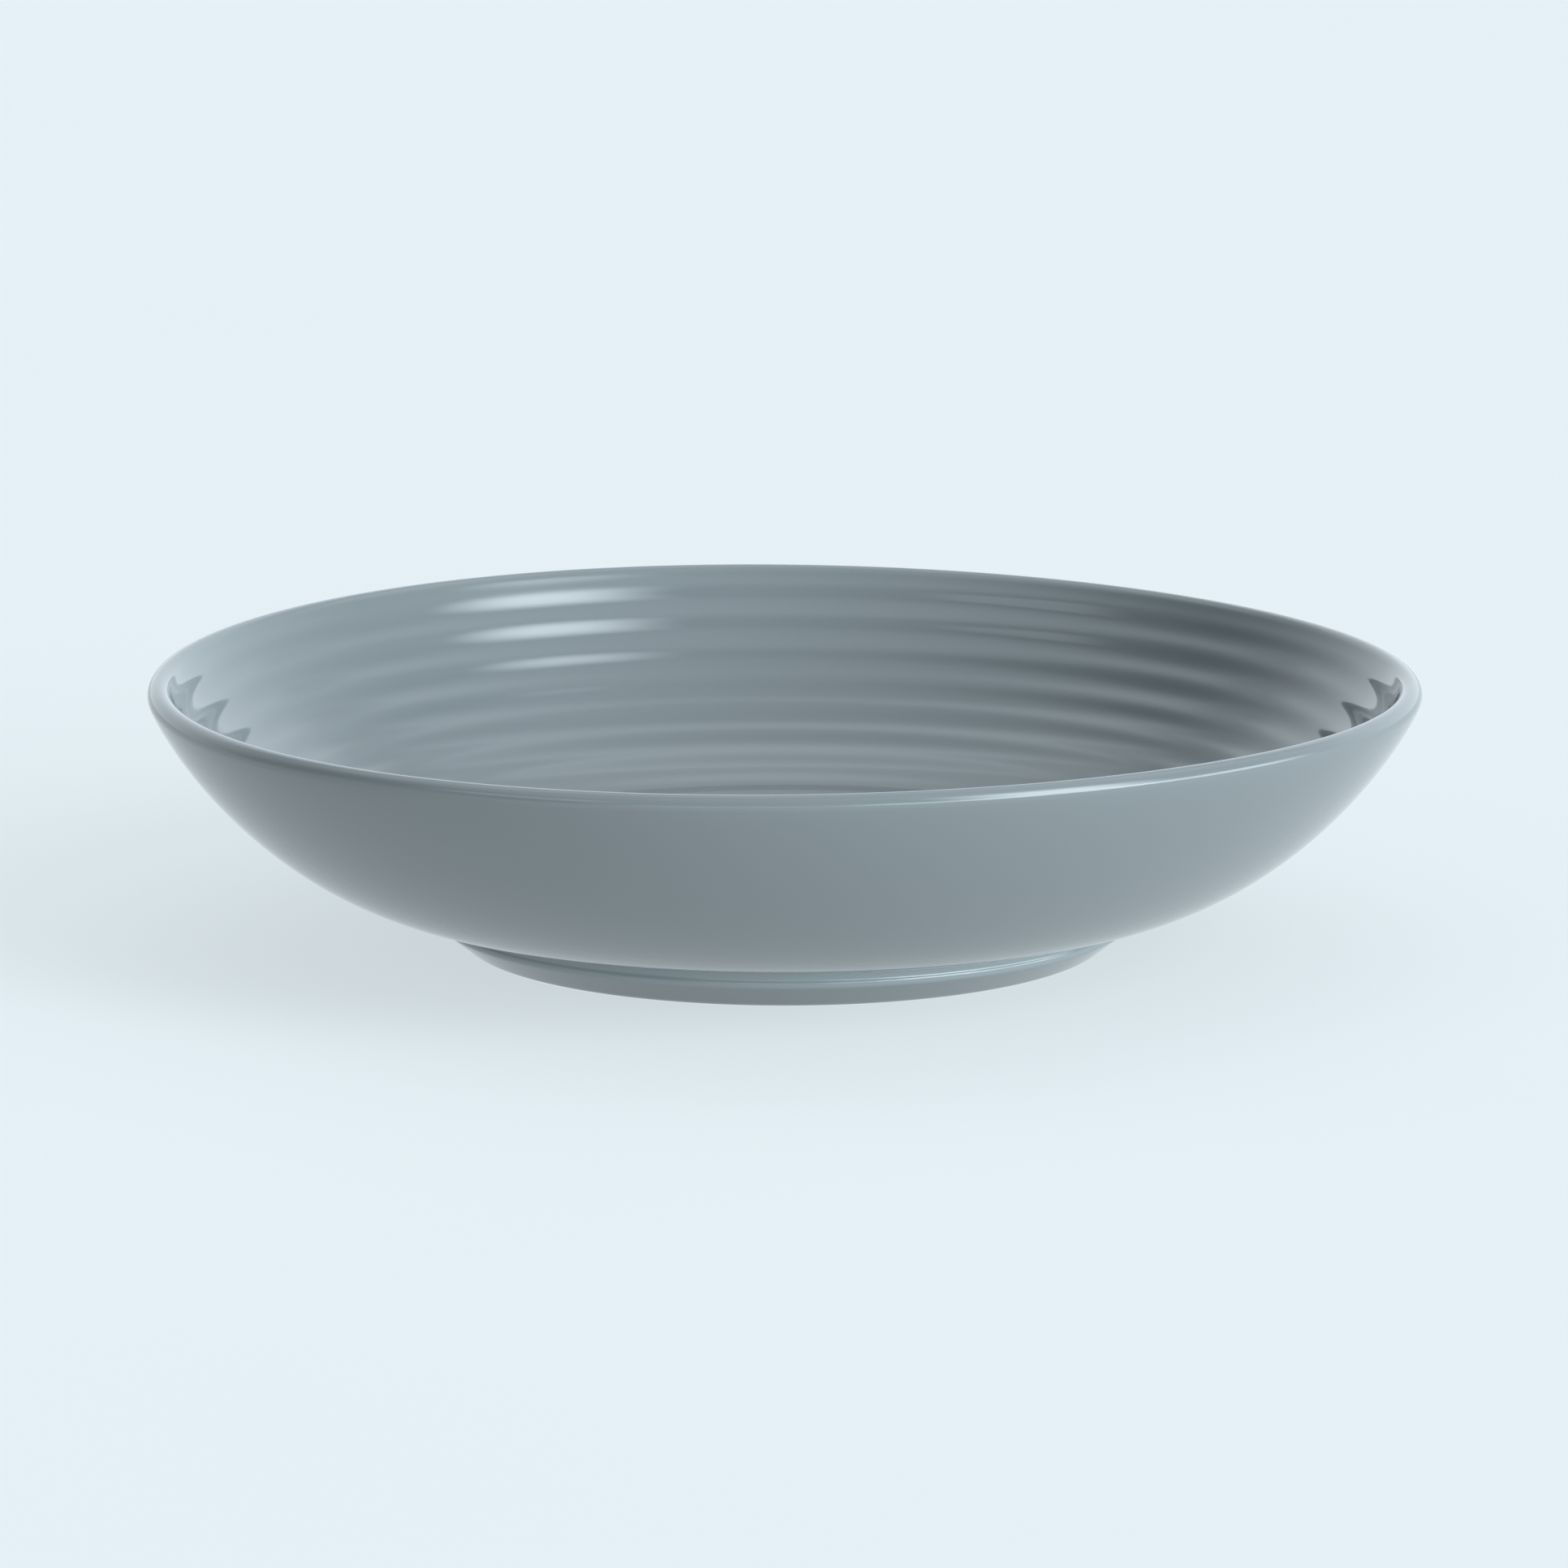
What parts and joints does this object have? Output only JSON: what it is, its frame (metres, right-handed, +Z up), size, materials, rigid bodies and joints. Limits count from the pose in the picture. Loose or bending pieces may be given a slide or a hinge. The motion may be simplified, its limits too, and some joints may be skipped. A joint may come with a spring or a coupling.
{
  "type": "pasta bowl",
  "caption": "Wide shallow stoneware pasta bowl in glossy grey-blue glaze, rippled inside, with a rolled rim and a low bevelled foot",
  "frame": {"origin": "centre of the standing ring, on the table plane", "axes": "+Z up along the bowl's axis; the bowl is round, so +X and +Y are any two level directions at right angles"},
  "size_m": [0.24, 0.24, 0.051],
  "materials": {
    "clay": "matte fired stoneware",
    "glaze": "glossy"
  },
  "bodies": {
    "root": {"bowl_body": "clay", "foot_ring": "clay", "glaze_coat": "glaze", "underside_glaze": "glaze"}
  },
  "joints": []
}
